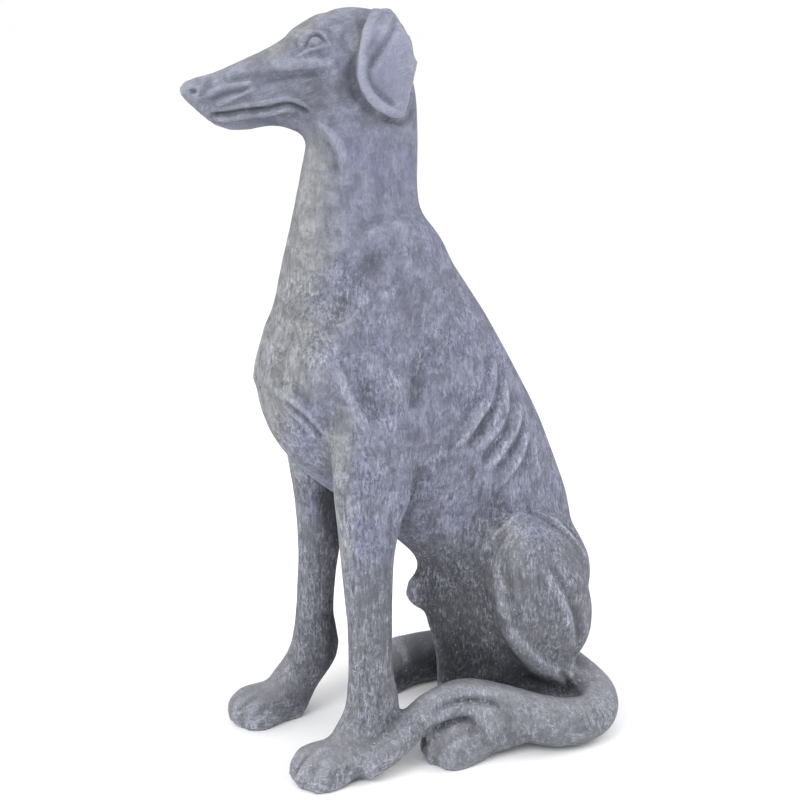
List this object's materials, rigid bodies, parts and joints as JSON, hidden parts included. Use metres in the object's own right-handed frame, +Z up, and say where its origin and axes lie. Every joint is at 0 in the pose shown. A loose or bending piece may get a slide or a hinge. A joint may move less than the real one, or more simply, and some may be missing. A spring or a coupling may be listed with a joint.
{
  "type": "dog sculpture",
  "caption": "Seated greyhound garden figure with head turned to one side and tail wrapped round its hind foot, cast in one piece that stands on its own paws and rump.",
  "frame": {"origin": "on the ground, in the middle of the figure's footprint box", "axes": "+Z up; the dog's chest faces -Y, its left side is at +X"},
  "size_m": [0.261, 0.4084, 0.73],
  "materials": {
    "weathered_resin": "matt lead grey with a lavender tint, darker hollows and pale dry-brushed ridges"
  },
  "bodies": {
    "root": {"greyhound_figure": "weathered_resin"}
  },
  "joints": []
}
